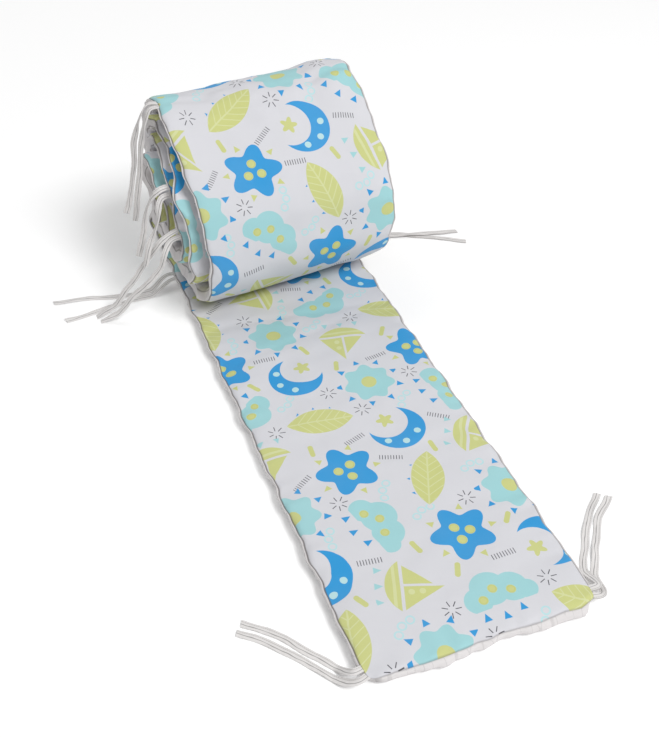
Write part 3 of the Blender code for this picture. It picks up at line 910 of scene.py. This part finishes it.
# Name of a pair, turns wound or place along where it leaves the strip, side, how far each tape is from there
# along the seam, and both routes: x and y from that seat, height above the surface and the way that the face
# looks. A tape lies on the surface where only x and y are given.
PAIRS = (
    ("near_left", None, NEAR_PLACE, -1, 0.0055, (
        ((-0.024, 0.027), (-0.052, 0.065), (-0.079, 0.099), (-0.106, 0.122)),
        ((-0.033, 0.017), (-0.061, 0.055), (-0.088, 0.088), (-0.115, 0.111)),
    )),
    ("near_right", None, NEAR_PLACE, 1, 0.0055, (
        ((0.016, 0.038, TAPE_ARCHED, UP), (0.042, 0.078), (0.068, 0.112), (0.100, 0.142)),
        ((0.027, 0.032), (0.053, 0.071), (0.078, 0.103), (0.112, 0.133)),
    )),
    ("back_left", None, BACK_PLACE, -1, 0.006, (
        ((-0.050, -0.005), (-0.100, 0.001), (-0.147, 0.013), (-0.200, 0.021)),
        ((-0.050, -0.018), (-0.100, -0.019), (-0.147, -0.029), (-0.190, -0.033)),
    )),
    ("back_right", None, BACK_PLACE, 1, 0.006, (
        ((0.050, 0.018), (0.090, 0.003), (0.125, -0.017), (0.163, -0.040), (0.206, -0.068)),
        ((0.050, 0.005), (0.090, -0.007, TAPE_OVER, UP), (0.125, -0.017, TAPE_OVER, UP),
         (0.163, -0.026, TAPE_OVER, UP), (0.205, -0.034)),
    )),
    ("top_left", 0.5, None, -1, 0.006, (
        ((-0.028, 0.008, 0.303, UP_LEFT), (-0.039, 0.010, 0.270, FRONT_LEFT),
         (-0.049, 0.008, 0.215, FRONT_LEFT), (-0.070, 0.002, 0.150, FRONT_LEFT)),
        ((-0.024, -0.008, 0.304, UP_LEFT), (-0.033, -0.004, 0.266, FRONT_LEFT),
         (-0.044, -0.003, 0.205, FRONT_LEFT), (-0.060, -0.008, 0.140, FRONT_LEFT)),
    )),
    ("middle_left", 2.3235, None, -1, 0.006, (
        ((-0.034, 0.012, 0.196, UP_LEFT), (-0.047, 0.010, 0.152, FRONT_LEFT),
         (-0.060, 0.008, 0.113, FRONT_LEFT)),
        ((-0.028, -0.010, 0.176, UP_LEFT), (-0.045, -0.012, 0.140, FRONT_LEFT),
         (-0.056, -0.014, 0.109, FRONT_LEFT)),
    )),
    ("low_left", 2.2059, None, -1, 0.006, (
        ((-0.052, 0.016, 0.113, UP_FRONT_LEFT), (-0.086, 0.028, 0.061, UP_FRONT_LEFT),
         (-0.114, 0.041, 0.020, UP_FRONT_LEFT), (-0.139, 0.050)),
        ((-0.038, 0.001, 0.101, UP_FRONT_LEFT), (-0.078, 0.016, 0.054, UP_FRONT_LEFT),
         (-0.111, 0.029, 0.014, UP_FRONT_LEFT), (-0.135, 0.037)),
    )),
)

# The folded tape's cut: place across and out of its face, as shares of half its width and thickness. It is
# folded at its first side, and open at the other, where its two layers show; a stitched line holds them.
TAPE_TOP = ((-0.97, 0.70), (-0.88, 1.00), (-0.45, 0.86), (0.00, 0.96), (0.46, 0.92), (TAPE_STITCH, 0.58),
            (0.66, 0.92), (0.90, 1.00), (1.00, 0.86), (1.00, 0.30))
TAPE_CUT = ((-1.00, 0.00), *TAPE_TOP, (0.84, 0.00), *((across, -thick) for across, thick in TAPE_TOP[::-1]))
TAPE_LEAF = 0.0012  # thickness of the two layers, pressed
TAPE_STEP = 0.0030
TAPE_BEGUN = 0.030  # the tape's own unevenness is whole this far from its seam
TAPE_TWIST = (0.46, 0.036)  # in radians, and the length that it changes over
TAPE_CURL = (0.0016, 0.024)  # of its sides out of its face
CURL_MIDDLE = 0.4  # and of its middle the other way, as a share of that
TAPE_SWAY = (0.0019, 0.033)
TAPE_NARROWING = (0.15, 0.028)  # share of the width that a crumple takes away
TAPE_GATHER = 0.88  # share of its width that a tape has where it is sewn in
END_SLANT = 0.0011  # of the cut end, from its middle to its sides
END_STAGGER = 0.0009  # one layer ends this far past the middle, and the other this far short
TAPE_LIFT = 0.0001  # no point of a tape lies lower than this
TAPE_ROOT = 0.002  # a tape starts this far inside its seam
TAPE_CREST = 40  # degrees between faces from which an edge of the tape is drawn sharp


def curve_way(points, k):
    """Way and rate of the smooth curve through points as it passes one of them."""
    if k in (0, len(points) - 1):
        return (points[min(k + 1, len(points) - 1)] - points[max(k - 1, 0)]).normalized()
    before, after = points[k] - points[k - 1], points[k + 1] - points[k]
    share = before.length / after.length
    return (before / share + after * share) / (before.length + after.length)


def curve_point(points, k, f):
    """A point on that curve, at a share of the way from one point to the next."""
    here, there = points[k], points[k + 1]
    reach = (there - here).length
    lean = (curve_way(points, k) * reach * f * (1 - f) ** 2
            - curve_way(points, k + 1) * reach * f * f * (1 - f))
    return here + (there - here) * float(smooth(f)) + lean


def seam_seat(place, side):
    """The side seam at a place: its middle, the way out, the way along it and the print's side."""
    def seam(s, height=SEAM_RISE):
        x, s, ruck = placed(np.array([side * HALF_WIDTH]), np.array([s]))
        return Vector(to_world(x, s, height - ruck)[0].tolist())

    reach = 0.005
    along = (seam(place + reach) - seam(place - reach)).normalized()
    facing = (seam(place, SEAM_RISE + reach) - seam(place)).normalized()
    out = along.cross(facing).normalized()
    return seam(place), out if out.x * side > 0 else -out, along, facing


def route_points(seat, offset, route):
    """The points of a tape's route from its seam, and the way that its near side looks at each."""
    middle, out, along, facing = seat
    lead = TAPE_LEAD if middle.z < 2 * FLAT_HALF else ROLL_TAPE_LEAD
    start = middle + along * offset
    points = [start - out * TAPE_ROOT, start + out * lead + facing * math.copysign(TAPE_PART, offset)]
    facings = [facing, facing]
    for x, y, *rest in route:
        height, looking = rest or (TAPE_REST, UP)
        points.append(Vector((middle.x + x, middle.y + y, height)))
        looking = Vector(looking).normalized()
        facings.append(looking if looking.dot(facings[-1]) > 0 else -looking)
    return points, facings


def tape_rings(points, facings, seed):
    """A tape's rings of points, and its length."""
    per_span = [max(2, round((b - a).length / TAPE_STEP)) for a, b in zip(points, points[1:])]
    places = [(span, k / count) for span, count in enumerate(per_span) for k in range(count)]
    places.append((len(per_span) - 1, 1.0))
    centres = [curve_point(points, span, f) for span, f in places]
    gone = [0.0]
    for before, here in zip(centres, centres[1:]):
        gone.append(gone[-1] + (here - before).length)

    def uneven_tape(table, along, channel):
        amount, scale = table
        bump = noise.noise(Vector((along / scale, seed, channel)))
        return amount * float(smooth(along / TAPE_BEGUN)) * bump

    rings = []
    for k, ((span, f), centre, along) in enumerate(zip(places, centres, gone)):
        way = (centres[min(k + 1, len(centres) - 1)] - centres[max(k - 1, 0)]).normalized()
        face = facings[span].lerp(facings[span + 1], float(smooth(f)))
        face = (face - way * face.dot(way)).normalized()
        wide = way.cross(face).normalized()
        twist = uneven_tape(TAPE_TWIST, along, 1.0)
        cos, sin = math.cos(twist), math.sin(twist)
        face, wide = face * cos + wide * sin, wide * cos - face * sin
        centre = centre + wide * uneven_tape(TAPE_SWAY, along, 2.0)
        curl = uneven_tape(TAPE_CURL, along, 3.0)
        gathered = TAPE_GATHER + (1 - TAPE_GATHER) * float(smooth(along / TAPE_BEGUN))
        width = TAPE_WIDTH / 2 * gathered * (1 - abs(uneven_tape(TAPE_NARROWING, along, 4.0)))
        end = float(k == len(centres) - 1)
        ring = []
        for across, thick in TAPE_CUT:
            past = end * (END_SLANT * across + END_STAGGER * math.copysign(1, thick))
            ring.append(centre + wide * (across * width) + way * past
                        + face * (thick * TAPE_LEAF / 2 + curl * (across * across - CURL_MIDDLE)))
        lift = Vector((0, 0, max(0.0, TAPE_LIFT - min(point.z for point in ring))))
        rings.append([point + lift for point in ring])
    return rings, gone


def build_tie(name, rings, gone, material):
    """A tape as a closed mesh through its rings, with a UV map of its own metres."""
    count = len(TAPE_CUT)
    points = [point for ring in rings for point in ring]
    faces = [(k + i, k + (i + 1) % count, k + count + (i + 1) % count, k + count + i)
             for k in range(0, (len(rings) - 1) * count, count) for i in range(count)]
    faces.append(tuple(range(count))[::-1])
    faces.append(tuple((len(rings) - 1) * count + i for i in range(count)))
    mesh = bpy.data.meshes.new(name)
    mesh.from_pydata(points, [], faces)
    layer = mesh.uv_layers.new(name="cloth")
    for loop in mesh.loops:
        ring, place = divmod(loop.vertex_index, count)
        layer.uv[loop.index].vector = (TAPE_CUT[place][0] * TAPE_WIDTH / 2, gone[ring])
    mesh.materials.append(material)
    mesh.shade_smooth()
    mesh.set_sharp_from_angle(angle=math.radians(TAPE_CREST))
    return added(name, mesh)


# ---- Surroundings.

FLOOR_REACH, FLOOR_DROP = 6.0, 0.0003
# Name, place, aim, size and power: in front, above and a little to the right, and behind to the left.
LIGHTS = (
    ("key", (1.6, -3.4, 4.8), (0, 0, 0.05), 2.2, 272),
    ("fill", (-1.2, 3.0, 4.0), (0, 0.6, 0), 3.0, 60),
)
ROOM_LIGHT = 0.34


def build_floor():
    """A pale floor just under the part."""
    mesh = bpy.data.meshes.new("floor")
    corners = np.array(((-1, -1, 0), (1, -1, 0), (1, 1, 0), (-1, 1, 0))) * FLOOR_REACH - (0, 0, FLOOR_DROP)
    mesh.from_pydata(corners.tolist(), [], [(0, 1, 2, 3)])
    material = bpy.data.materials.new("pale_floor")
    material.use_nodes = True
    put(material.node_tree.nodes["Principled BSDF"], Base_Color=(0.93, 0.93, 0.93, 1), Roughness=0.9,
        Emission_Color=(1, 1, 1, 1), Emission_Strength=0.10)
    mesh.materials.append(material)
    added("floor", mesh)


def build_lights():
    """Two soft lights in a pale room."""
    for name, place, aim, size, power in LIGHTS:
        data = bpy.data.lights.new(name, "AREA")
        data.shape = "SQUARE"
        data.size = size
        data.energy = power
        light = added(name, data)
        light.location = place
        light.rotation_euler = (Vector(aim) - Vector(place)).to_track_quat("-Z", "Y").to_euler()
    world = bpy.data.worlds.new("soft_room")
    world.use_nodes = True
    put(world.node_tree.nodes["Background"], Color=(1, 1, 1, 1), Strength=ROOM_LIGHT)
    bpy.context.scene.world = world
    bpy.context.scene.view_settings.view_transform = "Standard"


def build_camera():
    """The photograph's view: from the left and above, looking along the strip."""
    azimuth, elevation, reach = math.radians(-21.5), math.radians(42), 1.5
    aim = Vector((-0.011, -0.015, 0.038))
    back = Vector((math.sin(azimuth) * math.cos(elevation), -math.cos(azimuth) * math.cos(elevation),
                   math.sin(elevation)))
    data = bpy.data.cameras.new("camera")
    data.lens = 50
    data.sensor_width = 36
    camera = added("camera", data)
    camera.location = aim + back * reach
    camera.rotation_euler = (-back).to_track_quat("-Z", "Y").to_euler()
    bpy.context.scene.camera = camera


build_camera()
build_lights()
build_floor()

pad = build_pad(printed_cotton(), backing_cotton())
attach(pad, "root")
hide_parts("bumper_pad")

tape = tape_cotton()
ties = [(f"{name}_{k}", turns, place, side, way * offset, route)
        for name, turns, place, side, offset, routes in PAIRS
        for k, way, route in zip((1, 2), (1, -1), routes)]
for number, (name, turns, place, side, offset, route) in enumerate(ties):
    place = LINE.place_of_turn(turns) if place is None else place
    points, facings = route_points(seam_seat(place, side), offset, route)
    rings, gone = tape_rings(points, facings, seed=3.7 * number)
    tie = build_tie(f"tape_{name}", rings, gone, tape)
    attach(tie, "root")
    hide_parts(f"tie_{name}")
